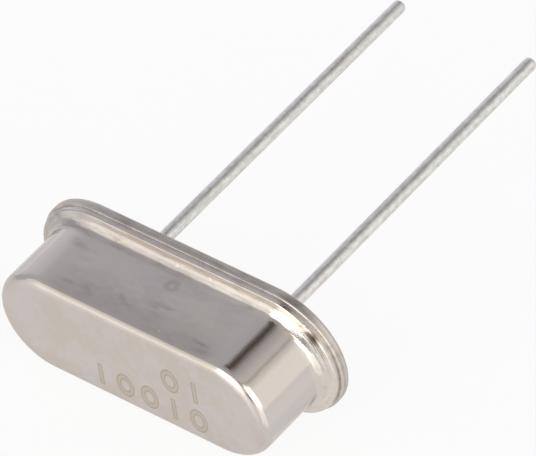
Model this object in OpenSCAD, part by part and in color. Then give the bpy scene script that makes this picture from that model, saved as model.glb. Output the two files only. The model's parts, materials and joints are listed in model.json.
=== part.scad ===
// Low-profile quartz crystal: a drawn obround can welded to a stamped base, two wire leads
// sealed into the base with glass, and a quartz strip on bent springs inside. Sizes in mm.
//
// Each piece is drawn upright: the seating plane of the base is z = 0, the can stands above it,
// the leads go down from it, x runs along the can and y across it. lay_on_side() then turns
// the piece onto one long side, as the crystal lies on a table: on the rim of its base and on
// the rounded edge of its can.

/* [Can] */
// Length of the can over its end walls
can_length = 9.9; // [9.2:0.1:11]
// Width of the can over its side walls
can_width = 3.64; // [3.4:0.02:4.2]
// Height of the can's top above the seating plane
can_height = 3.24; // [2.8:0.02:5]
// Thickness of the can's sheet
can_sheet = 0.22; // [0.15:0.01:0.26]
// Outer radius of the edge round the can's top
can_top_radius = 0.28; // [0.27:0.01:0.6]
// Outer radius of the bend between the wall and the flange
can_bend_radius = 0.2; // [0.05:0.01:0.22]
// Rounding of the flange's outer edge
can_flange_edge = 0.04; // [0.02:0.01:0.1]

/* [Base] */
// Thickness of the base's sheet
base_sheet = 0.34; // [0.25:0.01:0.45]
// How far the base's rim stands out past the can's side walls
rim_side_width = 0.44; // [0.34:0.01:0.6]
// How far the base's rim stands out past the can's end walls
rim_end_width = 0.53; // [0.34:0.01:0.7]
// How far the base's rim stands out past the can's flange
rim_step_width = 0.03; // [0.02:0.01:0.08]
// Rounding of the rim's edge at the seating plane
rim_low_edge = 0.1; // [0.04:0.01:0.14]
// Rounding of the rim's edge under the flange
rim_high_edge = 0.05; // [0.02:0.01:0.08]
// Height of the raised platform above the rim
platform_rise = 0.26; // [0.15:0.01:0.3]
// Room between the platform and the can's wall
platform_gap = 0.1; // [0.05:0.01:0.2]
// Rounding of the platform's upper edge
platform_edge = 0.12; // [0.05:0.01:0.14]
// How far the recess under the platform stays inside the platform's wall
recess_inset = 0.3; // [0.2:0.01:0.4]
// Rounding of the recess's mouth
recess_edge = 0.1; // [0.05:0.01:0.14]

/* [Glass seals] */
// Diameter of the glass bead
seal_diameter = 1.25; // [1:0.05:1.5]
// Wall of the drawn collar round the glass
collar_wall = 0.2; // [0.1:0.01:0.3]
// Height of the collar's end above the seating plane
collar_lift = 0.06; // [0.02:0.01:0.12]
// Dip of the glass between the collar and the lead
seal_dip = 0.06; // [0.02:0.01:0.09]
// How far the glass stays back from the collar's ends
seal_setback = 0.02; // [0.01:0.01:0.05]

/* [Leads] */
// Distance between the axes of the two leads
lead_pitch = 4.88; // [4.6:0.02:5.1]
// Diameter of the bare lead wire
wire_diameter = 0.42; // [0.35:0.01:0.5]
// Thickness of the tin on the wire outside the glass
tin_coat = 0.01; // [0.005:0.005:0.03]
// Bare wire between the glass and the start of the tin
tin_gap = 0.1; // [0.05:0.01:0.3]
// Length of a lead below the seating plane
lead_length = 13.1; // [3:0.1:16]
// Rounding of a lead's tip
lead_tip_edge = 0.15; // [0.05:0.01:0.17]
// Diameter of the flat head on a lead's inner end
head_diameter = 0.8; // [0.6:0.05:1]
// Thickness of the head
head_thickness = 0.12; // [0.08:0.01:0.2]
// Height of the head's underside above the platform
head_height = 0.35; // [0.15:0.05:0.5]

/* [Springs] */
// Thickness of the spring strip
spring_sheet = 0.1; // [0.06:0.01:0.14]
// Width of the spring strip
spring_width = 1.1; // [0.7:0.05:1.3]
// Length of the strip's foot on each side of the lead's axis
spring_foot = 0.35; // [0.25:0.01:0.4]
// Inner radius of the strip's bends
spring_bend = 0.1; // [0.06:0.01:0.12]
// Slope of the strip's riser
spring_slope = 65; // [50:1:75]
// Height of the shelf's top above the lead's head
spring_lift = 0.55; // [0.45:0.01:0.7]
// Height of the end lip above the film on the blank
lip_height = 0.36; // [0.33:0.01:0.5]
// Room between the end of the blank and the start of the lip's bend
lip_gap = 0.02; // [0.01:0.01:0.05]
// Room between the lip and the can's end wall
lip_room = 0.7; // [0.4:0.05:0.8]

/* [Quartz] */
// Room between the blank and the can's side wall
blank_room = 0.66; // [0.4:0.02:0.8]
// Thickness of the blank
blank_thickness = 0.2; // [0.1:0.01:0.3]
// Thickness of the electrode films
film = 0.02; // [0.01:0.005:0.03]
// Length of the electrode's middle pad
pad_length = 3.6; // [2:0.1:4.5]
// Width of the electrode's middle pad
pad_width = 1.4; // [0.8:0.05:1.7]
// Width of the tab from the pad to the end contact
tab_width = 0.6; // [0.3:0.05:0.8]
// Length of the end contact that wraps round the blank
contact_length = 0.8; // [0.4:0.05:0.9]
// Width of the end contact
contact_width = 1.3; // [0.8:0.05:1.7]
// Radius of a dab of conductive adhesive
dab_radius = 0.32; // [0.2:0.01:0.33]

/* [Hidden] */
$fn = 64;
// Overrun of a cut past the face that it opens
cut = 0.5;

// Can, flange and rim: an obround's run is the straight stretch between its round ends
can_run = can_length - can_width;
rim_length = can_length + 2 * rim_end_width;
rim_width = can_width + 2 * rim_side_width;
rim_run = rim_length - rim_width;
flange_width = rim_width - 2 * rim_step_width;
flange_top = base_sheet + can_sheet;
bend_height = flange_top + can_bend_radius;

// Width of the obround in which the can's bend ends and the flat flange begins
seat_width = can_width + 2 * can_bend_radius;

// Flat strip that the can's swept section has past its bend, and the part of it that laps into the flange
lap_strip = (flange_width - seat_width) / 4;
lap = lap_strip / 2;

// Room inside the can, and the platform that stands in it
inner_length = can_length - 2 * can_sheet;
inner_width = can_width - 2 * can_sheet;
inner_top_radius = can_top_radius - can_sheet;
platform_width = inner_width - 2 * platform_gap;
platform_top = base_sheet + platform_rise;
recess_width = platform_width - 2 * recess_inset;

// Leads, springs and blank, stacked up from the platform
lead_x = lead_pitch / 2;
lead_diameter = wire_diameter + 2 * tin_coat;
tin_start = collar_lift + seal_setback - tin_gap;
head_bottom = platform_top + head_height;
head_top = head_bottom + head_thickness;
shelf_top = head_top + spring_lift;
lip_face = inner_length / 2 - lip_room - spring_sheet;
blank_end = lip_face - spring_bend - lip_gap - film;
blank_length = 2 * blank_end;
blank_width = inner_width - 2 * blank_room;
blank_bottom = shelf_top + film;
blank_middle = blank_bottom + blank_thickness / 2;
film_top = blank_bottom + blank_thickness + film;

// Spring strip: its bends on the strip's middle line, and the lengths of its straight pieces
bend_middle = spring_bend + spring_sheet / 2;
riser_rise = spring_lift - spring_sheet - 2 * bend_middle * (1 - cos(spring_slope));
riser_length = riser_rise / sin(spring_slope);
riser_reach = 2 * bend_middle * sin(spring_slope) + riser_length * cos(spring_slope);
shelf_length = lip_face - spring_bend - (lead_x + spring_foot + riser_reach);
lip_length = film_top + lip_height - shelf_top - spring_bend;

// Glass: the ring between collar and lead, and the radius of its dished ends
seal_ring = (seal_diameter - wire_diameter) / 2;
dish_radius = (pow(seal_ring / 2, 2) + pow(seal_dip, 2)) / (2 * seal_dip);

// Lying: the lines where the rim and the can's top edge touch the table, seen along x
rim_y = rim_width / 2 - rim_high_edge;
rim_z = base_sheet - rim_high_edge;
top_y = can_width / 2 - can_top_radius;
top_z = can_height - can_top_radius;
line_gap = norm([rim_y - top_y, top_z - rim_z]);
rest_tilt = atan2(rim_y - top_y, top_z - rim_z) - asin((can_top_radius - rim_high_edge) / line_gap);
rest_height = rim_y * cos(rest_tilt) + rim_z * sin(rest_tilt) + rim_high_edge;

// Lying: how far the can's top and the lead tips reach on either side of the seating plane
top_reach = top_y * sin(rest_tilt) + top_z * cos(rest_tilt) + can_top_radius;
tip_y = lead_diameter / 2 - lead_tip_edge;
tip_reach = tip_y * sin(rest_tilt) + (lead_length - lead_tip_edge) * cos(rest_tilt) + lead_tip_edge;
rest_shift = (top_reach - tip_reach) / 2;

// Lays an upright piece on its side, with the middle of the whole crystal over the origin
module lay_on_side() {
    translate([0, rest_shift, rest_height])
        rotate([90 + rest_tilt, 0, 0])
            children();
}

// Puts a right-hand piece on the right (side = 1) or mirrors it to the left (side = -1)
module on_side(side) {
    mirror([side < 0 ? 1 : 0, 0, 0])
        children();
}

// Half of a section on the right of its axis, for turning
module right_half() {
    intersection() {
        children();
        translate([0, -lead_length - cut])
            square([rim_length, lead_length + can_height + 2 * cut]);
    }
}

// Sweeps a section, drawn across the width, round an obround with this straight run
module sweep_obround(run) {
    rotate([90, 0, 90])
        linear_extrude(run, center = true)
            children();
    for (side = [-1, 1])
        translate([side * run / 2, 0, 0])
            rotate([0, 0, -90 * side])
                rotate_extrude(angle = 180)
                    right_half()
                        children();
}

// Obround block between two heights
module obround(run, width, low, high) {
    translate([0, 0, low])
        linear_extrude(high - low) {
            square([run, width], center = true);
            for (side = [-1, 1])
                translate([side * run / 2, 0])
                    circle(d = width);
        }
}

// Section of a plate between two heights, its edges rounded below and above
module plate_section(width, low, high, low_edge = 0, high_edge = 0) {
    middle = (low + high) / 2;
    translate([-width / 2, low + low_edge])
        square([width, high - low - low_edge - high_edge]);
    translate([-width / 2 + low_edge, low])
        square([width - 2 * low_edge, middle - low]);
    translate([-width / 2 + high_edge, middle])
        square([width - 2 * high_edge, high - middle]);
    for (side = [-1, 1]) {
        if (low_edge > 0)
            translate([side * (width / 2 - low_edge), low + low_edge])
                circle(low_edge);
        if (high_edge > 0)
            translate([side * (width / 2 - high_edge), high - high_edge])
                circle(high_edge);
    }
}

// Flat plate in the outline of the rim or of the flange, with rounded outer edges
module rim_plate(width, low, high, low_edge, high_edge) {
    sweep_obround(rim_run)
        plate_section(width, low, high, low_edge, high_edge);
}

// Flat flange of the can: it starts on the flat strip, past the end of the bend
module flange() {
    difference() {
        rim_plate(flange_width, base_sheet, flange_top, can_flange_edge, can_flange_edge);
        obround(can_run, seat_width + 2 * lap, base_sheet - cut, flange_top + cut);
    }
}

// Quarter ring of the can's sheet, from the foot of the wall out to the flange
module bend_section() {
    outer = can_bend_radius + can_sheet;
    intersection() {
        difference() {
            circle(outer);
            circle(can_bend_radius);
        }
        translate([-2 * outer, -2 * outer])
            square(2 * outer);
    }
}

// Section through the can's sheet: top, walls, bends and the flat strip past each bend
module can_section() {
    difference() {
        plate_section(can_width, bend_height, can_height, 0, can_top_radius);
        plate_section(inner_width, bend_height - cut, can_height - can_sheet, 0, inner_top_radius);
    }
    for (side = [0, 1])
        mirror([side, 0])
            translate([seat_width / 2, bend_height]) {
                bend_section();
                translate([0, -can_bend_radius - can_sheet])
                    square([lap_strip, can_sheet]);
            }
}

// Drawn can: top, obround wall and the flange bent out at its foot
module can() {
    color([0.78, 0.76, 0.74])
        lay_on_side() {
            sweep_obround(can_run)
                can_section();
            flange();
        }
}

// Section through the recess under the platform, with a rounded mouth
module recess_section() {
    mouth = recess_width + 2 * recess_edge;
    translate([-recess_width / 2, -cut])
        square([recess_width, cut + platform_rise]);
    difference() {
        translate([-mouth / 2, -cut])
            square([mouth, cut + recess_edge]);
        for (side = [-1, 1])
            translate([side * mouth / 2, recess_edge])
                circle(recess_edge);
    }
}

// Stamped sheet of the base: the flat plate of the rim, the platform on it and the recess under that
module base_plate() {
    difference() {
        union() {
            rim_plate(rim_width, 0, base_sheet, rim_low_edge, rim_high_edge);
            sweep_obround(can_run)
                plate_section(platform_width, base_sheet / 2, platform_top, 0, platform_edge);
        }
        sweep_obround(can_run)
            recess_section();
    }
}

// Collar that is drawn down from the platform round a glass bead
module collar() {
    translate([0, 0, collar_lift])
        cylinder(h = platform_rise + base_sheet / 2 - collar_lift, d = seal_diameter + 2 * collar_wall);
}

// Stamped base: welding rim, raised platform, recess under it and two drawn collars
module base() {
    color([0.74, 0.72, 0.70])
        lay_on_side()
            difference() {
                union() {
                    base_plate();
                    for (side = [-1, 1])
                        translate([side * lead_x, 0, 0])
                            collar();
                }
                for (side = [-1, 1])
                    translate([side * lead_x, 0, -cut])
                        cylinder(h = platform_top + 2 * cut, d = seal_diameter);
            }
}

// Glass bead between a collar and its lead, dished at both ends
module glass_seal(side) {
    dish_back = dish_radius - seal_dip - seal_setback;
    color([0.16, 0.20, 0.19])
        lay_on_side()
            translate([side * lead_x, 0, 0])
                rotate_extrude()
                    difference() {
                        translate([wire_diameter / 2, collar_lift])
                            square([seal_ring, platform_top - collar_lift]);
                        for (dish = [platform_top + dish_back, collar_lift - dish_back])
                            translate([(wire_diameter + seal_ring) / 2, dish])
                                circle(dish_radius);
                    }
}

// Wire lead, tinned below the glass, with a rounded tip and a flat head on its inner end
module lead(side) {
    color([0.80, 0.79, 0.77])
        lay_on_side()
            translate([side * lead_x, 0, 0])
                rotate_extrude()
                    right_half() {
                        plate_section(lead_diameter, -lead_length, tin_start, lead_tip_edge);
                        plate_section(wire_diameter, tin_start - cut, head_bottom + head_thickness / 2);
                        plate_section(head_diameter, head_bottom, head_top);
                    }
}

// Straight piece of spring strip; what follows is drawn on from its end
module strip(length) {
    translate([0, -spring_sheet / 2])
        square([length, spring_sheet]);
    translate([length, 0])
        children();
}

// Bend of the spring strip, upwards for a positive angle; what follows is drawn on from its end
module strip_bend(angle) {
    outer = spring_bend + spring_sheet;
    up = sign(angle);
    translate([0, up * bend_middle]) {
        intersection() {
            difference() {
                circle(outer);
                circle(spring_bend);
            }
            polygon([
                [0, 0],
                for (part = [0, 0.5, 1]) 2 * outer * [sin(part * abs(angle)), -up * cos(part * angle)]
            ]);
        }
        rotate(angle)
            translate([0, -up * bend_middle])
                children();
    }
}

// Bent strip spring: foot on the lead's head, riser, shelf for the blank, and end lip
module support_spring(side) {
    color([0.70, 0.68, 0.64])
        lay_on_side()
            on_side(side)
                rotate([90, 0, 0])
                    linear_extrude(spring_width, center = true)
                        translate([lead_x - spring_foot, head_top + spring_sheet / 2])
                            strip(2 * spring_foot)
                                strip_bend(spring_slope)
                                    strip(riser_length)
                                        strip_bend(-spring_slope)
                                            strip(shelf_length)
                                                strip_bend(90)
                                                    strip(lip_length);
}

// Block of the quartz strip, upright
module blank_block() {
    translate([-blank_end, -blank_width / 2, blank_bottom])
        cube([blank_length, blank_width, blank_thickness]);
}

// Quartz strip
module quartz_blank() {
    color([0.86, 0.90, 0.92])
        lay_on_side()
            blank_block();
}

// Metal film on the blank's upper face, upright: pad, tab and the contact round the left end
module film_block() {
    film_depth = film_top - blank_middle;
    difference() {
        union() {
            translate([-pad_length / 2, -pad_width / 2, blank_middle])
                cube([pad_length, pad_width, film_depth]);
            translate([-blank_end, -tab_width / 2, blank_middle])
                cube([blank_end, tab_width, film_depth]);
            translate([-blank_end - film, -contact_width / 2, shelf_top])
                cube([contact_length + film, contact_width, film_top - shelf_top]);
        }
        blank_block();
    }
}

// Film on the upper face, out to the left end
module electrode_upper() {
    color([0.88, 0.87, 0.84])
        lay_on_side()
            film_block();
}

// Film on the lower face, out to the right end
module electrode_lower() {
    color([0.88, 0.87, 0.84])
        lay_on_side()
            translate([0, 0, 2 * blank_middle])
                rotate([0, 180, 0])
                    film_block();
}

// Dab of conductive adhesive in the corner between the film and the spring's lip
module adhesive(side) {
    color([0.62, 0.61, 0.57])
        lay_on_side()
            on_side(side)
                translate([lip_face, 0, film_top])
                    intersection() {
                        sphere(dab_radius);
                        translate([-2 * dab_radius, -dab_radius, 0])
                            cube(2 * dab_radius);
                    }
}

can();
base();
glass_seal(-1);  // glass_seal_left
glass_seal(1);  // glass_seal_right
lead(-1);  // lead_left
lead(1);  // lead_right
support_spring(-1);  // support_spring_left
support_spring(1);  // support_spring_right
quartz_blank();
electrode_upper();
electrode_lower();
adhesive(-1);  // adhesive_left
adhesive(1);  // adhesive_right
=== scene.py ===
# %% [markdown]
# # A two-lead quartz crystal in a low metal can
#
# The crystal is a nickel-plated can, drawn from sheet, that is welded to the rim of a stamped base.
# Two tinned wires leave the base through beads of glass. It lies on its side, on its rim and on the
# can's top edge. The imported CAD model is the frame: it says where everything is, and this script gives
# the pieces their finish.

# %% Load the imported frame
import json
import math

import bmesh
import bpy
from mathutils import Matrix, Vector, noise


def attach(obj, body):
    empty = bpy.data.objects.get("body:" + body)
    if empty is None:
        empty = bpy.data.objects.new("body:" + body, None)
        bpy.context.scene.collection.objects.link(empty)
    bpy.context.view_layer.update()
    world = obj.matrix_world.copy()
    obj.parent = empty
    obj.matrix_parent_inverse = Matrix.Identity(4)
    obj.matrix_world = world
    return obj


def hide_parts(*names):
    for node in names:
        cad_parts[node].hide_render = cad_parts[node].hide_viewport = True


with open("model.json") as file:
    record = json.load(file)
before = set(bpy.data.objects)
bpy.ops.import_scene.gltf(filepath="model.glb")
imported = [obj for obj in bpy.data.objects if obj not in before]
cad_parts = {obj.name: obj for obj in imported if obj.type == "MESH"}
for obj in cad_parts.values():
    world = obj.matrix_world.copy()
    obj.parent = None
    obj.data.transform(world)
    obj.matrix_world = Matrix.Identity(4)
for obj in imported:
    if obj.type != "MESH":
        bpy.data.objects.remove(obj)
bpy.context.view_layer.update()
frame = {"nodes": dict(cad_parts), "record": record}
print("CAD nodes:", ", ".join(sorted(frame["nodes"])))

# %% [markdown]
# ## Standing up to be made, lying down to be seen
#
# A can is easiest to think of standing on its base, with its leads pointing down. So every piece is
# modelled upright and in millimetres, and one matrix then lays it on its side in the frame, in metres.
# The matrix is read off the frame's mounts: both leads start on the seating plane, left and right of
# the middle, and point straight down from it.

# %% The matrix that lays an upright piece on its side
mounts = {mount["name"]: mount for mount in frame["record"]["mounts"]}
lead_starts = [Vector(mounts[name]["pos_m"]) for name in ("lead_left", "lead_right")]
up = -Vector(mounts["lead_left"]["axis"]).normalized()
along = (lead_starts[1] - lead_starts[0]).normalized()
across = up.cross(along)
middle = (lead_starts[0] + lead_starts[1]) / 2
lead_pitch = (lead_starts[1] - lead_starts[0]).length * 1000

turn_to_rest = Matrix((along, across, up)).transposed()
lay_on_side = Matrix.Translation(middle) @ turn_to_rest.to_4x4() @ Matrix.Scale(0.001, 4)
print(f"the can's axis tips {math.degrees(math.asin(-up.z)):.2f} degrees below level")

# %% [markdown]
# ## The camera
#
# The picture was taken from far away with a long lens, so lines that are parallel on the crystal stay
# nearly parallel in the image. A camera can be pushed about by hand until it looks right. Here it is
# placed by angles round the point that it looks at, because the angles are what one would measure.

# %% Camera at the photograph's angle
CAMERA_AZIMUTH = math.radians(38.576)
CAMERA_ELEVATION = math.radians(37.318)
CAMERA_ROLL = math.radians(-0.878)
CAMERA_DISTANCE = 0.1955
CAMERA_AIM = Vector((-0.785, -0.511, 1.956)) * 0.001
SENSOR_WIDTH = 36.0
LENS = 446.4

camera_back = Vector((
    math.sin(CAMERA_AZIMUTH) * math.cos(CAMERA_ELEVATION),
    -math.cos(CAMERA_AZIMUTH) * math.cos(CAMERA_ELEVATION),
    math.sin(CAMERA_ELEVATION),
))
camera_data = bpy.data.cameras.new("camera")
camera_data.sensor_fit = "HORIZONTAL"
camera_data.sensor_width = SENSOR_WIDTH
camera_data.lens = LENS
camera_data.clip_start = 0.01
camera = bpy.data.objects.new("camera", camera_data)
aimed = (-camera_back).to_track_quat("-Z", "Y").to_matrix() @ Matrix.Rotation(CAMERA_ROLL, 3, "Z")
camera.matrix_world = Matrix.Translation(CAMERA_AIM + camera_back * CAMERA_DISTANCE) @ aimed.to_4x4()
bpy.context.scene.collection.objects.link(camera)
bpy.context.scene.camera = camera
print("camera at", [round(value, 4) for value in camera.location])

# %% [markdown]
# ## Sections
#
# Everything here is a section that is swept or turned, as its tooling would do it. A section could be
# worked out point by point. It is shorter to draw its sharp corners as a chain of edges and to let the
# bevel operator round each of them: on a square corner, a vertex bevel is an exact arc. Each straight
# stretch then gets a narrow shoulder at both ends, because smooth shading bends the look of a face
# towards its rounded neighbours. The shoulders take that bend, and the flats stay flat.

# %% Draw a section and round its corners
ARC_STEPS = 7
MERGE = 0.0005
SHOULDER = 0.015


def draw_section(bm, corners):
    """A chain of edges through corners (y, z, radius), rounded by their radii, with shoulders."""
    verts = [bm.verts.new((0, y, z)) for y, z, radius in corners]
    for start, end in zip(verts, verts[1:]):
        bm.edges.new((start, end))
    for vert, (y, z, radius) in zip(verts, corners):
        if radius:
            bmesh.ops.bevel(
                bm, geom=[vert], offset=radius, offset_type="OFFSET", affect="VERTICES",
                segments=ARC_STEPS, profile=0.5, material=-1,
            )
    for edge in bm.edges[:]:
        for vert in edge.verts[:]:
            if edge.calc_length() > 3 * SHOULDER:
                bmesh.utils.edge_split(edge, vert, SHOULDER / edge.calc_length())


# %% [markdown]
# The can and the base are obrounds: two straight sides and two round ends. The section is spun through
# half a turn round one end, pulled along a side, spun round the other end and pulled back to its start.
# A side is pulled in three steps, so that it has its shoulders too.

# %% Sweep a section round an obround
END_STEPS = 56


def only(kind, parts):
    """The parts of one kind, such as the edges, out of what an operator returns."""
    return [part for part in parts if isinstance(part, kind)]


def sweep_obround(bm, run):
    """Sweeps the drawn section round an obround whose straight sides are run long."""
    bmesh.ops.translate(bm, verts=bm.verts[:], vec=(run / 2, 0, 0))
    chain = bm.verts[:] + bm.edges[:]
    for end in (1, -1):
        turned = bmesh.ops.spin(
            bm, geom=chain, cent=(end * run / 2, 0, 0), axis=(0, 0, 1),
            angle=-math.pi, steps=END_STEPS,
        )
        chain = turned["geom_last"]
        for pull in (SHOULDER, run - 2 * SHOULDER, SHOULDER):
            pulled = bmesh.ops.extrude_edge_only(bm, edges=only(bmesh.types.BMEdge, chain))["geom"]
            far_verts = only(bmesh.types.BMVert, pulled)
            bmesh.ops.translate(bm, verts=far_verts, vec=(-end * pull, 0, 0))
            far_edges = [
                edge for edge in only(bmesh.types.BMEdge, pulled)
                if edge.verts[0] in far_verts and edge.verts[1] in far_verts
            ]
            chain = far_verts + far_edges
    bmesh.ops.remove_doubles(bm, verts=bm.verts[:], dist=MERGE)


# %% [markdown]
# A finished mesh is laid on its side and becomes an object at the origin, with its place in its mesh.
# It rides on the frame's one body and takes the place of its CAD node. Its faces are shaded smoothly,
# apart from edges that are sharper than the steps of an arc.

# %% Turn a mesh into a piece of the frame
SHARP_ANGLE = math.radians(32)


def finish_piece(bm, name, node):
    """Makes an upright mesh a piece of the frame that stands for a CAD node."""
    bmesh.ops.recalc_face_normals(bm, faces=bm.faces[:])
    bmesh.ops.transform(bm, matrix=lay_on_side, verts=bm.verts[:])
    for face in bm.faces:
        face.smooth = True
    for edge in bm.edges:
        edge.smooth = edge.calc_face_angle(0) < SHARP_ANGLE
    open_edges = [edge for edge in bm.edges if not edge.is_manifold]
    mesh = bpy.data.meshes.new(name)
    bm.to_mesh(mesh)
    bm.free()
    piece = bpy.data.objects.new(name, mesh)
    bpy.context.scene.collection.objects.link(piece)
    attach(piece, "root")
    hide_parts(node)
    print(f"{name}: {len(mesh.polygons)} faces, {len(open_edges)} open edges")
    return piece


# %% [markdown]
# ## The can
#
# The can is drawn from nickel-plated sheet in a few strokes, so its top edge is rounded, its walls are
# straight, and its foot is bent outwards into a flange for welding. It could be a solid block with
# bevelled edges, but the flange's bend is what catches the light. So the whole section of the sheet is
# drawn, outside and inside, and swept round. Pressing leaves the sheet a little off true: the top is
# crowned towards its edge, and the bend turns in three soft kinks. The flange reaches a little further at
# the ends than at the sides, so its ends are moved out after the sweep.

# %% Sizes of the can and the rim, in millimetres
CAN_LENGTH = 9.9
CAN_WIDTH = 3.64
CAN_HEIGHT = 3.24
CAN_SHEET = 0.22
CAN_TOP_RADIUS = 0.28
CAN_BEND_RADIUS = 0.2
CROWN_WIDTH = 0.5
CROWN_FALL = 0.03
CROWN_ROUND = 0.12
CROWN_EDGE = 0.33
KINKS = [(0, 0.8, 0.09), (0.154, 0.638, 0.045), (0.235, 0.591, 0.02)]
FLANGE_HIGH = 0.535
FLANGE_EDGE = 0.04
BASE_SHEET = 0.34
RIM_SIDE = 0.44
RIM_END = 0.53
RIM_STEP = 0.03
FLANGE_END_REACH = 0.03

can_run = CAN_LENGTH - CAN_WIDTH
wall_y = CAN_WIDTH / 2
inner_y = wall_y - CAN_SHEET
seat_y = wall_y + CAN_BEND_RADIUS
rim_y = wall_y + RIM_SIDE
flange_y = rim_y - RIM_STEP


def reach_out_at_ends(bm, end_reach):
    """Moves what lies outside the can's bend further out at both ends."""
    for end in (1, -1):
        outside = []
        for vert in bm.verts:
            from_end = Vector((max(0, end * vert.co.x - can_run / 2), vert.co.y))
            if end * vert.co.x > 0 and from_end.length > seat_y + MERGE:
                outside.append(vert)
        bmesh.ops.translate(bm, verts=outside, vec=(end * end_reach, 0, 0))


def close_flats(bm):
    """Fills each open loop of edges with one flat face."""
    bmesh.ops.holes_fill(bm, edges=[edge for edge in bm.edges if edge.is_boundary], sides=0)


# %% Can
bm = bmesh.new()
draw_section(bm, [
    (wall_y / 2, CAN_HEIGHT, 0),
    (wall_y - CROWN_WIDTH, CAN_HEIGHT, CROWN_ROUND),
    (wall_y, CAN_HEIGHT - CROWN_FALL, CROWN_EDGE),
    *[(wall_y + out, high, radius) for out, high, radius in KINKS],
    (flange_y, FLANGE_HIGH, FLANGE_EDGE),
    (flange_y, BASE_SHEET, 0),
    (inner_y, BASE_SHEET, CAN_BEND_RADIUS + CAN_SHEET),
    (inner_y, CAN_HEIGHT - CAN_SHEET, CAN_TOP_RADIUS - CAN_SHEET),
    (wall_y / 2, CAN_HEIGHT - CAN_SHEET, 0),
])
sweep_obround(bm, can_run)
reach_out_at_ends(bm, FLANGE_END_REACH)
close_flats(bm)
can = finish_piece(bm, "can_shell", "can")

# %% [markdown]
# ## The base
#
# The base is stamped: a flat rim that the flange is welded to, a platform that stands up inside the
# can, and a recess under it. Each lead passes through a collar that is drawn down from the platform.
# The section gives the rim, platform and recess. The collars are turned, and the two flats that are
# left open are filled round them.

# %% Sizes of the base and its collars, in millimetres
RIM_LOW_EDGE = 0.1
RIM_HIGH_EDGE = 0.05
PLATFORM_RISE = 0.26
PLATFORM_GAP = 0.1
PLATFORM_EDGE = 0.12
RECESS_INSET = 0.3
RECESS_EDGE = 0.1
SEAL_DIAMETER = 1.25
COLLAR_WALL = 0.2
COLLAR_LIFT = 0.06
COLLAR_EDGE = 0.04
TURN_STEPS = 64

platform_y = inner_y - PLATFORM_GAP
platform_top = BASE_SHEET + PLATFORM_RISE
recess_y = platform_y - RECESS_INSET
seal_radius = SEAL_DIAMETER / 2
lead_sides = {"left": -lead_pitch / 2, "right": lead_pitch / 2}


def turn_round(bm, x):
    """Turns the drawn section, whose y is a radius, a full turn round an upright axis at x."""
    bmesh.ops.spin(
        bm, geom=bm.verts[:] + bm.edges[:], cent=(0, 0, 0), axis=(0, 0, 1),
        angle=math.tau, steps=TURN_STEPS, use_merge=True,
    )
    bmesh.ops.remove_doubles(bm, verts=bm.verts[:], dist=MERGE)
    bmesh.ops.translate(bm, verts=bm.verts[:], vec=(x, 0, 0))


# %% Base
bm = bmesh.new()
draw_section(bm, [
    (recess_y - RECESS_EDGE, PLATFORM_RISE, 0),
    (recess_y, PLATFORM_RISE, 0),
    (recess_y, 0, RECESS_EDGE),
    (rim_y, 0, RIM_LOW_EDGE),
    (rim_y, BASE_SHEET, RIM_HIGH_EDGE),
    (platform_y, BASE_SHEET, 0),
    (platform_y, platform_top, PLATFORM_EDGE),
    (platform_y - 2 * PLATFORM_EDGE, platform_top, 0),
])
sweep_obround(bm, can_run)
reach_out_at_ends(bm, RIM_END - RIM_SIDE)
for x in lead_sides.values():
    collar = bmesh.new()
    draw_section(collar, [
        (seal_radius + COLLAR_WALL, PLATFORM_RISE, 0),
        (seal_radius + COLLAR_WALL, COLLAR_LIFT, COLLAR_EDGE),
        (seal_radius, COLLAR_LIFT, COLLAR_EDGE),
        (seal_radius, platform_top, 0),
    ])
    turn_round(collar, x)
    turned = bpy.data.meshes.new("collar")
    collar.to_mesh(turned)
    collar.free()
    bm.from_mesh(turned)
    bpy.data.meshes.remove(turned)
for height in (PLATFORM_RISE, platform_top):
    rings = [
        edge for edge in bm.edges
        if edge.is_boundary and all(abs(vert.co.z - height) < MERGE for vert in edge.verts)
    ]
    bmesh.ops.triangle_fill(bm, edges=rings, use_beauty=True, use_dissolve=False)
base = finish_piece(bm, "base_plate", "base")

# %% [markdown]
# ## The glass beads
#
# A ring of glass is melted between each collar and its lead. Molten glass climbs up metal, so both ends
# of a bead are dished. The dish is an arc, made by spinning a single vertex about the dish's centre,
# and the finished section is turned round the lead.

# %% Glass beads
WIRE_RADIUS = 0.21
SEAL_DIP = 0.06
SEAL_SETBACK = 0.02
DISH_STEPS = 16

dish_half = (seal_radius - WIRE_RADIUS) / 2
dish_radius = (dish_half ** 2 + SEAL_DIP ** 2) / (2 * SEAL_DIP)
dish_angle = 2 * math.asin(dish_half / dish_radius)


def dish(bm, z, way):
    """An arc from the lead out to the collar that dips by SEAL_DIP; way is 1 for the upper end."""
    start = bm.verts.new((0, WIRE_RADIUS, z))
    centre = (0, WIRE_RADIUS + dish_half, z + way * (dish_radius - SEAL_DIP))
    bmesh.ops.spin(
        bm, geom=[start], cent=centre, axis=(1, 0, 0), angle=way * dish_angle, steps=DISH_STEPS,
    )


seals = {}
for side, x in lead_sides.items():
    bm = bmesh.new()
    dish(bm, COLLAR_LIFT + SEAL_SETBACK, -1)
    dish(bm, platform_top - SEAL_SETBACK, 1)
    ends = [vert for vert in bm.verts if len(vert.link_edges) == 1]
    for radius in (WIRE_RADIUS, seal_radius):
        bm.edges.new([vert for vert in ends if abs(vert.co.y - radius) < MERGE])
    turn_round(bm, x)
    seals[side] = finish_piece(bm, f"seal_bead_{side}", f"glass_seal_{side}")

# %% [markdown]
# ## The leads
#
# A lead is a wire with a flat head inside the can. Outside, it is dipped in tin, which leaves its skin
# slightly uneven. A smooth cylinder would give one straight streak of light, so the tinned length is
# cut into short rings and each vertex is drawn in by a little noise, never outwards.

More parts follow.
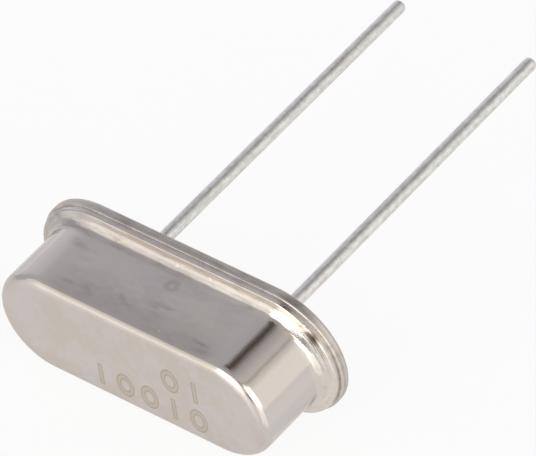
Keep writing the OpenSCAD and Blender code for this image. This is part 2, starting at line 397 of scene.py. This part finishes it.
# %% Leads
LEAD_LENGTH = 13.098
LEAD_RADIUS = 0.22
LEAD_TIP_EDGE = 0.15
TIN_START = -0.02
HEAD_RADIUS = 0.4
HEAD_BOTTOM = 0.95
HEAD_TOP = 1.07
TIN_RINGS = 160
TIN_UNEVEN = 0.008


def thinned(co, x):
    """How far the tin is drawn in at a place: slow lumps and a fine grain, which differ with x."""
    lump = noise.noise(Vector((co.x * 2 + x, co.y * 2, co.z * 1.1)))
    fine = noise.noise(Vector((co.x * 5, co.y * 5 + x, co.z * 4)))
    return TIN_UNEVEN * (0.5 + 0.4 * lump + 0.05 * fine)


leads = {}
for side, x in lead_sides.items():
    bm = bmesh.new()
    draw_section(bm, [
        (0, -LEAD_LENGTH, 0),
        (LEAD_RADIUS, -LEAD_LENGTH, LEAD_TIP_EDGE),
        (LEAD_RADIUS, TIN_START, 0),
        (WIRE_RADIUS, TIN_START, 0),
        (WIRE_RADIUS, HEAD_BOTTOM, 0),
        (HEAD_RADIUS, HEAD_BOTTOM, 0),
        (HEAD_RADIUS, HEAD_TOP, 0),
        (0, HEAD_TOP, 0),
    ])
    shank = [edge for edge in bm.edges if edge.calc_length() > LEAD_LENGTH / 2]
    bmesh.ops.subdivide_edges(bm, edges=shank, cuts=TIN_RINGS)
    turn_round(bm, 0)
    for vert in bm.verts:
        if vert.co.z < TIN_START - MERGE and vert.co.xy.length > LEAD_RADIUS / 2:
            vert.co.xy *= 1 - thinned(vert.co, x) / LEAD_RADIUS
    bmesh.ops.translate(bm, verts=bm.verts[:], vec=(x, 0, 0))
    leads[side] = finish_piece(bm, f"lead_wire_{side}", f"lead_{side}")

# %% [markdown]
# ## Shader sums
#
# A finish is a sum of patterns: a bit of grain, a bit of tint, a stain here. Node by node that gets
# long, so one small class wraps a socket. Adding or multiplying two of them adds a Math node, and its
# node method makes any other node.

# %% A socket that can be used in sums
class Wire:
    """One output socket of a node tree. Sums of wires and numbers become Math nodes."""

    def __init__(self, tree, socket):
        self.tree = tree
        self.socket = socket

    def node(self, kind, settings, sockets, output=0):
        """Makes a node: its settings come first, then the values or links of its sockets."""
        made = self.tree.nodes.new(kind)
        for name, value in settings.items():
            if name == "stops":
                ramp = made.color_ramp
                while len(ramp.elements) < len(value):
                    ramp.elements.new(1.0)
                for element, (position, colour) in zip(ramp.elements, value):
                    element.position = position
                    element.color = colour
            else:
                setattr(made, name, value)
        for key, value in sockets.items():
            if isinstance(value, Wire):
                self.tree.links.new(value.socket, made.inputs[key])
            else:
                made.inputs[key].default_value = value
        return Wire(self.tree, made.outputs[output])

    def maths(self, operation, first, second=0.0):
        """A Math node of one or two values."""
        return self.node("ShaderNodeMath", {"operation": operation}, {0: first, 1: second})

    def __add__(self, other):
        return self.maths("ADD", self, other)

    def __radd__(self, other):
        return self.maths("ADD", other, self)

    def __sub__(self, other):
        return self.maths("SUBTRACT", self, other)

    def __rsub__(self, other):
        return self.maths("SUBTRACT", other, self)

    def __mul__(self, other):
        return self.maths("MULTIPLY", self, other)

    def __rmul__(self, other):
        return self.maths("MULTIPLY", other, self)

    def __truediv__(self, other):
        return self.maths("DIVIDE", self, other)

    def __rtruediv__(self, other):
        return self.maths("DIVIDE", other, self)

    def rise(self, low, high):
        """0 below low, 1 above high, and a smooth step between; a fall where low is above high."""
        steps = {"interpolation_type": "SMOOTHSTEP"}
        limits = {"Value": self, "From Min": low, "From Max": high}
        return self.node("ShaderNodeMapRange", steps, limits)

    def blend(self, first, second):
        """A colour that is the first where this wire is 0 and the second where it is 1."""
        return self.node("ShaderNodeMix", {"data_type": "RGBA"}, {0: self, 6: first, 7: second}, 2)

    def xyz(self):
        """The three numbers of a vector."""
        parts = self.node("ShaderNodeSeparateXYZ", {}, {0: self})
        return [Wire(self.tree, socket) for socket in parts.socket.node.outputs]


# %% [markdown]
# Patterns are drawn on the upright crystal, in millimetres, as the pieces were. The objects' own
# coordinates are those of the frame, so a Mapping node turns them back upright.

# %% Start a finish
stand_up = lay_on_side.inverted()


def start_finish(name, **constants):
    """A new material, with its shader, and a wire that holds the place on the upright crystal."""
    material = bpy.data.materials.new(name)
    material.use_nodes = True
    tree = material.node_tree
    shader = tree.nodes["Principled BSDF"]
    for socket, value in constants.items():
        shader.inputs[socket.replace("_", " ")].default_value = value
    frame_place = Wire(tree, tree.nodes.new("ShaderNodeTexCoord").outputs["Object"])
    place = frame_place.node("ShaderNodeMapping", {}, {
        "Vector": frame_place,
        "Location": stand_up.to_translation(),
        "Rotation": stand_up.to_3x3().normalized().to_euler(),
        "Scale": stand_up.to_scale(),
    })
    return material, shader, place


def feed(shader, **wires):
    """Links wires to the sockets of a shader."""
    for socket, wire in wires.items():
        wire.tree.links.new(wire.socket, shader.inputs[socket.replace("_", " ")])


def grain(place, size, detail=2.0, stretch=(1, 1, 1)):
    """Noise around 0.5 whose lumps are about size millimetres, drawn out along an axis by stretch."""
    scaled = place.node("ShaderNodeMapping", {}, {
        "Vector": place, "Scale": [1 / (size * factor) for factor in stretch],
    })
    return place.node("ShaderNodeTexNoise", {}, {"Vector": scaled, "Scale": 1.0, "Detail": detail})


def bumped(height, strength, distance=0.00001):
    """A normal that follows a height."""
    return height.node("ShaderNodeBump", {}, {
        "Strength": strength, "Distance": distance, "Height": height,
    })


# %% [markdown]
# ## Nickel plate
#
# Nickel is a warm grey, and no two zones of a drawn can look alike. The top is satin, as the sheet was.
# The walls are polished by the drawing die, with fine lines along the stroke. The flange is pressed and
# welded, so it is lined and uneven, and the base's rim is the dullest. A picture of a can could be
# wrapped round, but then its light would be fixed to one view. Here a zone is a range of heights on the
# upright crystal, or of distances from its middle, and fades out between two of them. A mark is a
# pattern in millimetres.

# %% Zones of the can, and patterns for its marks
RIM_ZONE = (0.5, 0.4)
WELD_ZONE = (0.85, 0.6)
FLANGE_ZONE = (1.0, 0.86)
OUTSIDE_ZONE = (1.6, 1.8)
STRAIGHT_ZONE = (3.4, 2.4)
LINES_ALONG = 1.6
LINES_OUT = 14
LINES_UP = 10


def spot(place, centre, reach):
    """1 at a centre on the upright crystal, falling smoothly to 0 at a reach along x, y and z."""
    moved = place.node("ShaderNodeVectorMath", {"operation": "SUBTRACT"}, {0: place, 1: centre})
    scaled = place.node("ShaderNodeVectorMath", {"operation": "DIVIDE"}, {0: moved, 1: reach})
    return place.node("ShaderNodeVectorMath", {"operation": "LENGTH"}, {0: scaled}, 1).rise(1.0, 0.0)


def specks(place, spacing, size):
    """1 at scattered specks of a size, in about one of five cells of a spacing, in millimetres."""
    cells = place.node("ShaderNodeTexVoronoi", {}, {"Vector": place, "Scale": 1 / spacing})
    picked = Wire(place.tree, cells.socket.node.outputs["Color"]).xyz()[0]
    return cells.rise(size / spacing, 0.0) * picked.rise(0.8, 0.85)


def outwards(place):
    """Distance from the obround's middle line, which is the same all along a ring round the crystal."""
    x, y, z = place.xyz()
    past_end = x.maths("MAXIMUM", x.maths("ABSOLUTE", x) - can_run / 2, 0.0)
    return x.maths("SQRT", past_end * past_end + y * y)


def on_flange(place):
    """1 on the flange and round the edge of the rim, 0 on the wall and under the base."""
    x, y, z = place.xyz()
    return z.rise(*FLANGE_ZONE) * outwards(place).rise(*OUTSIDE_ZONE)


def pressed_lines(place):
    """Noise around 0.5 in lines that run round the crystal, as pressing leaves them."""
    x, y, z = place.xyz()
    rings = outwards(place) * LINES_OUT + z * LINES_UP
    ringed = place.node("ShaderNodeCombineXYZ", {}, {0: x * LINES_ALONG, 1: rings})
    return place.node("ShaderNodeTexNoise", {}, {"Vector": ringed, "Scale": 1.0, "Detail": 3.0})


# %% [markdown]
# Handling dulls the polished wall: there is haze all over, more wear towards the top, smudges where it
# was held and the ring of a dried drop. A line of painted shade lies in the concave bend at the foot.
# They add up to one amount. The numbers in these sums, and in those below, are given amounts.

# %% How far handling dulls the plate, with painted shade at the foot
SMUDGES = [
    ((-2.45, 1.82, 2.75), (0.5, 0.5, 0.25)),
    ((-1.6, 1.82, 2.6), (0.7, 0.5, 0.35)),
    ((-0.6, 1.82, 2.4), (1.0, 0.5, 0.55)),
    ((0.7, 1.82, 2.1), (1.0, 0.5, 0.5)),
    ((-3.0, 1.82, 1.2), (0.8, 0.5, 0.5)),
    ((2.5, 1.82, 2.7), (0.9, 0.5, 0.45)),
]
DROP_PLACE = (0.277, 1.82, 1.266)
DROP_REACH = (0.32, 0.32, 0.32)


def dulled_and_shaded(place, smear, satin):
    """How much haze, wear, smudges, a dried drop and painted shade in the bend at the foot darken the
    plate.
    """
    x, y, z = place.xyz()
    haze = grain(place, 0.4, 4.0, (1.6, 1, 1)).rise(0.42, 0.68)
    worn = 0.16 * haze + 0.42 * z.rise(1.8, 2.95) + 0.08 * z.rise(1.25, 0.95)
    worn = worn * z.rise(0.75, 0.9) * (1 - satin) * x.maths("ABSOLUTE", x).rise(*STRAIGHT_ZONE)
    smudge = sum(spot(place, centre, reach) for centre, reach in SMUDGES)
    drop = spot(place, DROP_PLACE, DROP_REACH)
    ring = drop * (1 - drop) * 4
    # Painted shade: a dark line in the concave bend at the wall's foot, a little uneven.
    foot_shade = z.rise(0.96, 0.86) * z.rise(0.7, 0.78) * (0.2 + 0.3 * smear.rise(0.3, 0.7))
    return smudge * smear.rise(0.4, 0.66) * 0.62 + ring * 0.4 + worn + foot_shade


# %% [markdown]
# The plate is greyed in the pressed lines of the flange, most of all at the left end of the flange and
# along the rim. At the right end, a dark brown patch on the flange is a painted reflection of a dark gap
# in the tent.

# %% How far the plate is greyed, and a painted dark reflection
# A painted reflection: a dark brown patch on the right end of the flange, where it mirrors a dark gap.
DARK_REFLECTION_PLACE = (4.8, 1.46, 0.53)
DARK_REFLECTION_REACH = (0.3, 0.4, 0.16)


def greying(place, smear, lines, flange):
    """How far the plate is greyed: in the flange's pressed lines, at the flange's left end and along the
    rim.
    """
    x, y, z = place.xyz()
    from_middle = x.maths("ABSOLUTE", x)
    rim = z.rise(*RIM_ZONE)
    left_end = z.rise(*WELD_ZONE) * from_middle.rise(3.0, 4.6) * x.rise(1.0, -1.0) * (1 - rim)
    under_edge = z.rise(0.28, 0.26) * z.rise(0.15, 0.2)
    straight = from_middle.rise(*STRAIGHT_ZONE)
    uneven = (lines - 0.5) * 1.4 + (smear.rise(0.4, 0.65) - 0.5) * 0.3
    grey_rim = rim * (0.22 + 0.3 * under_edge + 0.3 * straight)
    return left_end * (0.3 + 0.5 * lines) + grey_rim + flange * uneven


# %% [markdown]
# A plain number is etched on the top. Its figures could be cut into the mesh, but an etched stroke has
# next to no depth. So a figure is what lies near a line: an oval for a nought and an upright for a one.
# The edges of a stroke are darker than its middle.

# %% Etched number
DIGIT_HALF = (0.24, 0.34)
DIGIT_STROKE = 0.06
DIGIT_LINE = 0.04
STROKE_MIDDLE = 0.4
ETCHED_NUMBER = [
    ("1", (-1.2, -0.85)), ("0", (-0.3, -0.85)), ("0", (0.6, -0.85)), ("1", (1.5, -0.85)),
    ("0", (2.4, -0.85)), ("0", (1.5, 0.3)), ("1", (2.4, 0.3)),
]


def digit(place, figure, centre):
    """1 on the etched strokes of a one or a nought about a centre on the top of the can."""
    x, y, z = place.xyz()
    aside = x - centre[0]
    along = y - centre[1]
    if figure == "0":
        u = aside / DIGIT_HALF[0]
        v = along / DIGIT_HALF[1]
        off = x.maths("ABSOLUTE", x.maths("SQRT", u * u + v * v) - 1) * DIGIT_HALF[0]
    else:
        past_end = x.maths("ABSOLUTE", along) - DIGIT_HALF[1]
        off = x.maths("MAXIMUM", x.maths("ABSOLUTE", aside), past_end)
    edges = x.maths("ABSOLUTE", off - DIGIT_STROKE).rise(DIGIT_LINE, DIGIT_LINE * 0.3)
    middle = STROKE_MIDDLE * off.rise(DIGIT_STROKE + DIGIT_LINE, DIGIT_STROKE)
    return x.maths("MAXIMUM", edges, middle)


# %% [markdown]
# Now the layers are put on one another, from the bare plate to the etching and a few specks of dust.
# Dust is no metal, so it is white from all sides and doesn't mirror. Metal turns a little darker at its
# edges than a perfect mirror would, which is what the specular tint is for.

# %% Nickel of the can and the base
NICKEL_YELLOW = (0.64, 0.59, 0.545, 1)
NICKEL_VIOLET = (0.63, 0.58, 0.555, 1)
SATIN_YELLOW = (0.63, 0.566, 0.508, 1)
SATIN_VIOLET = (0.66, 0.602, 0.573, 1)
# Worn and smudged plate, and the painted shade in the bend at the foot, take this colour.
WORN_AND_SHADED_NICKEL = (0.40, 0.362, 0.335, 1)
# The colour of the painted highlight on the flange and on the spatter.
HIGHLIGHT_NICKEL = (0.73, 0.68, 0.62, 1)
GREYED_NICKEL = (0.40, 0.36, 0.33, 1)
# The colour of the painted dark reflection on the flange's right end.
DARK_REFLECTION_BROWN = (0.13, 0.085, 0.075, 1)
ETCHED_NICKEL = (0.50, 0.43, 0.33, 1)
DUST_WHITE = (0.85, 0.84, 0.82, 1)
NICKEL_EDGE = (0.9, 0.89, 0.88, 1)
SATIN_DEPTH = 0.04
SATIN_FADE = 0.1


def nickel(name, satin_above, number=()):
    """Nickel plate that is satin above a height, with a number etched into the satin."""
    material, shader, place = start_finish(name, Specular_Tint=NICKEL_EDGE)
    x, y, z = place.xyz()
    cloud = grain(place, 1.1)
    smear = grain(place, 0.3, 4.0, (2.5, 1, 1))
    lines = pressed_lines(place)
    satin = z.rise(satin_above - SATIN_FADE, satin_above)
    rim = z.rise(*RIM_ZONE)
    flange = on_flange(place)
    pits = specks(place, 0.9, 0.06)
    spatter = specks(place, 0.3, 0.07) * flange
    dust = specks(place, 1.3, 0.06)
    dull_and_shade = dulled_and_shaded(place, smear, satin) + pits * 0.5
    # Painted highlight: the flange is painted lighter from the middle towards the right end, and each
    # speck of spatter is painted lighter as a glint.
    painted_highlight = flange * (1 - rim) * x.rise(-1.0, 3.0) * 0.8 + spatter * 0.5
    # Painted reflection: the dark brown patch at the right end of the flange.
    dark_reflection = spot(place, DARK_REFLECTION_PLACE, DARK_REFLECTION_REACH) * z.rise(*WELD_ZONE)
    marks = satin * sum(digit(place, figure, centre) for figure, centre in number)

    plate = cloud.rise(0.35, 0.65).blend(NICKEL_YELLOW, NICKEL_VIOLET)
    mottle = 0.6 * cloud + 0.4 * grain(place, 0.22, 4.0)
    sheet = mottle.rise(0.4, 0.6).blend(SATIN_YELLOW, SATIN_VIOLET)
    colour = dull_and_shade.blend(satin.blend(plate, sheet), WORN_AND_SHADED_NICKEL)
    colour = painted_highlight.blend(colour, HIGHLIGHT_NICKEL)
    colour = greying(place, smear, lines, flange).blend(colour, GREYED_NICKEL)
    colour = dark_reflection.blend(colour, DARK_REFLECTION_BROWN)
    colour = marks.blend(colour, ETCHED_NICKEL)
    colour = dust.blend(colour, DUST_WHITE)

    fine = grain(place, 0.05, 3.0) * (0.4 + 0.4 * satin)
    stroke = grain(place, 0.06, 2.0, (1, 1, 14)) * 0.5
    wave = grain(place, 0.5) * 4
    height = fine + (stroke + wave) * (1 - satin) + (lines * 30 + smear * 40) * flange
    feed(
        shader,
        Base_Color=colour,
        Metallic=1 - dust,
        Roughness=0.09 + 0.18 * satin + 0.03 * cloud + 0.08 * dull_and_shade + 0.25 * rim,
        Normal=bumped(height + spatter * 30 - pits * 3 - marks * 1.5, 0.08),
    )
    print(f"{name}: {len(material.node_tree.nodes)} nodes")
    return material


can.data.materials.append(nickel("nickel_can", CAN_HEIGHT - SATIN_DEPTH, ETCHED_NUMBER))
base.data.materials.append(nickel("nickel_base", CAN_HEIGHT))

# %% [markdown]
# ## Tin and glass
#
# Dipped tin is a pale grey that sets in small blotches, drawn out a little along the wire, with a pit
# here and there. Sealing glass is almost black, and bright because it was melted and not ground. Both
# could be plain colours, but the blotches are what tells tinned wire from polished wire.

# %% Tin and glass
TIN_DARK = (0.655, 0.643, 0.636, 1)
TIN_PALE = (0.805, 0.796, 0.793, 1)
TIN_PIT = (0.30, 0.295, 0.29, 1)
GLASS_BLACK = (0.012, 0.03, 0.028, 1)
GLASS_GREEN = (0.03, 0.055, 0.05, 1)


def tin():
    """Blotchy dipped tin with small pits."""
    material, shader, place = start_finish("dipped_tin", Metallic=1.0)
    streak = grain(place, 0.25, 3.0, (0.4, 0.4, 5))
    fine = grain(place, 0.08, 3.0)
    blotch = grain(place, 0.13, 3.0, (1, 1, 1.6)) * 0.7 + streak * 0.3
    colour = blotch.rise(0.38, 0.62).blend(TIN_DARK, TIN_PALE)
    pits = specks(place, 0.4, 0.07)
    feed(
        shader,
        Base_Color=(pits * 0.7).blend(colour, TIN_PIT),
        Roughness=0.36 + 0.08 * fine,
        Normal=bumped(fine * 0.5 + blotch * 1.3, 0.15),
    )
    return material


def sealing_glass():
    """Dark melted glass with faint clouds."""
    material, shader, place = start_finish("sealing_glass", IOR=1.52)
    cloud = grain(place, 0.3)
    feed(
        shader,
        Base_Color=cloud.blend(GLASS_BLACK, GLASS_GREEN),
        Roughness=0.06 + 0.1 * cloud,
    )
    return material


tin_finish = tin()
glass_finish = sealing_glass()
for side in lead_sides:
    leads[side].data.materials.append(tin_finish)
    seals[side].data.materials.append(glass_finish)
    print(f"{leads[side].name}: {tin_finish.name}, {seals[side].name}: {glass_finish.name}")

# %% [markdown]
# ## Inside the can
#
# The quartz strip, its silver films, the springs and the dabs of adhesive are never seen, but a part may
# be cut open one day. Their CAD solids are good enough as they are, so they only get a finish each:
# lapped quartz is frosted, evaporated silver is bright, rolled strip has lines along its length, and
# adhesive is matt and full of flakes.

# %% Finishes of the hidden pieces
QUARTZ_GREY = (0.80, 0.84, 0.86, 1)
QUARTZ_CLEAR = (0.90, 0.93, 0.94, 1)
SILVER_WHITE = (0.90, 0.88, 0.84, 1)
SILVER_YELLOW = (0.84, 0.81, 0.74, 1)
STRIP_DARK = (0.52, 0.48, 0.42, 1)
STRIP_PALE = (0.62, 0.58, 0.52, 1)
ADHESIVE_DARK = (0.36, 0.35, 0.32, 1)
ADHESIVE_PALE = (0.58, 0.57, 0.53, 1)


def quartz():
    """Frosted quartz."""
    material, shader, place = start_finish("lapped_quartz", IOR=1.54, Transmission_Weight=0.7)
    lapped = grain(place, 0.03, 4.0)
    feed(
        shader,
        Base_Color=lapped.blend(QUARTZ_GREY, QUARTZ_CLEAR),
        Roughness=0.35 + 0.2 * lapped,
    )
    return material


def silver_film():
    """Bright silver with faint clouds."""
    material, shader, place = start_finish("silver_film", Metallic=1.0)
    cloud = grain(place, 0.4)
    feed(
        shader,
        Base_Color=cloud.blend(SILVER_WHITE, SILVER_YELLOW),
        Roughness=0.18 + 0.12 * cloud,
    )
    return material


def spring_strip():
    """Strip with rolling lines along it."""
    material, shader, place = start_finish("rolled_strip", Metallic=1.0)
    rolled = grain(place, 0.03, 3.0, (12, 1, 1))
    feed(
        shader,
        Base_Color=rolled.blend(STRIP_DARK, STRIP_PALE),
        Roughness=0.22 + 0.14 * rolled,
        Normal=bumped(rolled, 0.1),
    )
    return material


def adhesive():
    """Matt adhesive with metal flakes."""
    material, shader, place = start_finish("silver_adhesive", Specular_IOR_Level=0.4)
    flakes = grain(place, 0.04, 3.0)
    feed(
        shader,
        Base_Color=flakes.blend(ADHESIVE_DARK, ADHESIVE_PALE),
        Metallic=flakes.rise(0.5, 0.7) * 0.8,
        Roughness=0.5 + 0.2 * flakes,
    )
    return material


hidden = {
    "quartz_blank": quartz(),
    "electrode": silver_film(),
    "support_spring": spring_strip(),
    "adhesive": adhesive(),
}
for name, node in frame["nodes"].items():
    for start, finish in hidden.items():
        if name.startswith(start):
            node.data.materials.clear()
            node.data.materials.append(finish)
            print(f"{name}: {finish.name}")

# %% [markdown]
# ## The light tent
#
# Polished metal has hardly any colour of its own: what one sees is the room. The picture was taken in a
# light tent, so the room is a white floor and white sides, under a grey lid with a dark slot. It could
# be built from walls and lamps, but a world shader that reads the direction is quieter to render. A
# direction is followed up to a lid one unit above the crystal, and ramps say how bright the lid is there:
# along its width, towards the front and towards the back. Near the horizon the lid is endlessly far off,
# so a direction counts as no lower than a small height.

# %% World: sides, lid and slot of the tent
LID_SPAN = 4.0
LEAST_HEIGHT = 0.02
LID_WIDTH = [
    (-4.0, 0.79), (-2.3, 0.76), (-1.25, 0.69), (-0.8, 0.60), (-0.5, 0.56), (-0.2, 0.54), (-0.1, 0.16),
    (-0.03, 0.08), (0.03, 0.09), (0.1, 0.25), (0.22, 0.48), (0.5, 0.66), (0.66, 0.7), (0.74, 0.54),
    (0.8, 0.54), (0.9, 0.74), (1.4, 1.06), (4.0, 1.08),
]
LID_FRONT = [
    (-4.0, 1.26), (-2.4, 1.16), (-1.6, 1.02), (-1.1, 0.8), (-0.75, 0.5), (-0.25, 0.42), (-0.08, 0.0),
]
LID_BACK = [(1.2, 0.0), (2.4, 0.6), (4.0, 0.9)]


def lid_ramp(distance, brightness):
    """The lid's brightness at a distance from its middle, from (distance, brightness) stops."""
    stops = [
        ((place / LID_SPAN + 1) / 2, (grey, grey, grey, 1)) for place, grey in brightness
    ]
    return distance.node("ShaderNodeValToRGB", {"stops": stops}, {0: (distance / LID_SPAN + 1) / 2})


world = bpy.data.worlds.new("light_tent")
bpy.context.scene.world = world
world.use_nodes = True
tree = world.node_tree
toward = Wire(tree, tree.nodes.new("ShaderNodeTexCoord").outputs["Generated"])
right, back, high = toward.xyz()
height = high.maths("MAXIMUM", high, LEAST_HEIGHT)
light = lid_ramp(right / height, LID_WIDTH)
for ramp in (LID_FRONT, LID_BACK):
    light = light.maths("MAXIMUM", light, lid_ramp(back / height, ramp))

# %% [markdown]
# Photographers stand cards round a shiny thing: white ones to light an edge, dark ones to draw it. Each
# card here is a soft-edged patch of the tent. Its place is a turn from the back towards the right and a
# height above level, then come its half width, half height and soft edge, all in degrees, and last how
# bright it is, where 1 is white.

# %% Cards in the tent
CARDS = {
    "dark left side": (-106, 19, 18, 33, 10, 0.58),
    "grey left front": (-132, 6, 7, 28, 8, 0.92),
    "window at the back left": (-37, -2, 13, 14, 22, 1.25),
    "grey back": (20, 15, 18, 22, 14, 0.62),
    "softbox at the right": (116, 20, 20, 21, 8, 2.6),
    "softbox in front": (181, 16, 19, 24, 10, 2.6),
    "gap between the softboxes": (147, 12, 6, 30, 8, 0.45),
    "gap near the floor": (154, -8, 10, 9, 8, 0.42),
}

turn = right.maths("ARCTAN2", right, back) * math.degrees(1)
above = high.maths("ARCSINE", high) * math.degrees(1)
for card, (azimuth, elevation, half_width, half_height, edge, brightness) in CARDS.items():
    aside = turn.node("ShaderNodeMath", {"operation": "WRAP"}, {0: turn - azimuth, 1: 180.0, 2: -180.0})
    inside = aside.maths("ABSOLUTE", aside).rise(half_width + edge / 2, half_width - edge / 2)
    off_level = above.maths("ABSOLUTE", above - elevation)
    inside = inside * off_level.rise(half_height + edge / 2, half_height - edge / 2)
    light = light + inside * (brightness - light)
    print(f"card: {card}, {brightness} bright")

# %% [markdown]
# Daylight-white sides look a little cool on the left and a little warm to the right and in front, and
# what is dark looks brown. The camera itself sees plain white.

# %% Tints of the tent
COOL_WHITE = (0.985, 0.995, 1.05, 1)
WARM_WHITE = (1.03, 1.0, 0.955, 1)
BROWN_SHADE = (1.2, 0.96, 0.9, 1)

warmth = light.maths("MAXIMUM", right.rise(-0.2, 0.6), back.rise(-0.3, -0.8))
tint = warmth.blend(COOL_WHITE, WARM_WHITE)
tint = light.rise(0.4, 0.05).blend(tint, BROWN_SHADE)
tinted = tint.node("ShaderNodeVectorMath", {"operation": "SCALE"}, {0: tint, "Scale": light})
seen = Wire(tree, tree.nodes.new("ShaderNodeLightPath").outputs["Is Camera Ray"])
tent = seen.blend(tinted, (1, 1, 1, 1))
tree.links.new(tent.socket, tree.nodes["Background"].inputs["Color"])
bpy.context.scene.view_settings.view_transform = "Standard"

# %% [markdown]
# ## The floor
#
# The floor is a white sheet. To the camera, and in the metal, most of it is plain white, as a lit sheet
# is in a bright picture. The rest is matt and takes the crystal's soft shadow. The metal also sees the
# sheet's gloss, which mirrors the tent at low angles. The camera looks down too steeply for that, so the
# gloss is kept from it.

# %% Floor
FLOOR_SIZE = 0.04
FLOOR_WHITE = 0.9
FLOOR_GREY = (0.9, 0.9, 0.9, 1)
GLOSS_IOR = 2.6
GLOSS_ROUGHNESS = 0.12

bm = bmesh.new()
bmesh.ops.create_grid(bm, x_segments=1, y_segments=1, size=FLOOR_SIZE)
floor_mesh = bpy.data.meshes.new("floor")
bm.to_mesh(floor_mesh)
bm.free()
floor = bpy.data.objects.new("floor", floor_mesh)
bpy.context.scene.collection.objects.link(floor)
sheet = bpy.data.materials.new("white_sheet")
sheet.use_nodes = True
tree = sheet.node_tree
matt = tree.nodes["Principled BSDF"]
matt.inputs["Base Color"].default_value = FLOOR_GREY
matt.inputs["Roughness"].default_value = 1.0
matt.inputs["Specular IOR Level"].default_value = 0.0
glow = tree.nodes.new("ShaderNodeEmission")
path = tree.nodes.new("ShaderNodeLightPath")
camera_ray, glossy_ray, through_ray = (
    Wire(tree, path.outputs[name]) for name in ("Is Camera Ray", "Is Glossy Ray", "Is Transmission Ray")
)
seen = camera_ray.maths("MAXIMUM", camera_ray, camera_ray.maths("MAXIMUM", glossy_ray, through_ray))
mixed = tree.nodes.new("ShaderNodeMixShader")
tree.links.new((seen * FLOOR_WHITE).socket, mixed.inputs[0])
tree.links.new(matt.outputs[0], mixed.inputs[1])
tree.links.new(glow.outputs[0], mixed.inputs[2])
gloss = tree.nodes.new("ShaderNodeBsdfGlossy")
gloss.inputs["Roughness"].default_value = GLOSS_ROUGHNESS
glossed = tree.nodes.new("ShaderNodeMixShader")
fresnel = camera_ray.node("ShaderNodeFresnel", {}, {"IOR": GLOSS_IOR})
tree.links.new((fresnel * (1 - camera_ray)).socket, glossed.inputs[0])
tree.links.new(mixed.outputs[0], glossed.inputs[1])
tree.links.new(gloss.outputs[0], glossed.inputs[2])
tree.links.new(glossed.outputs[0], tree.nodes["Material Output"].inputs[0])
floor_mesh.materials.append(sheet)
print(f"floor: {FLOOR_SIZE * 2000:.0f} mm wide")
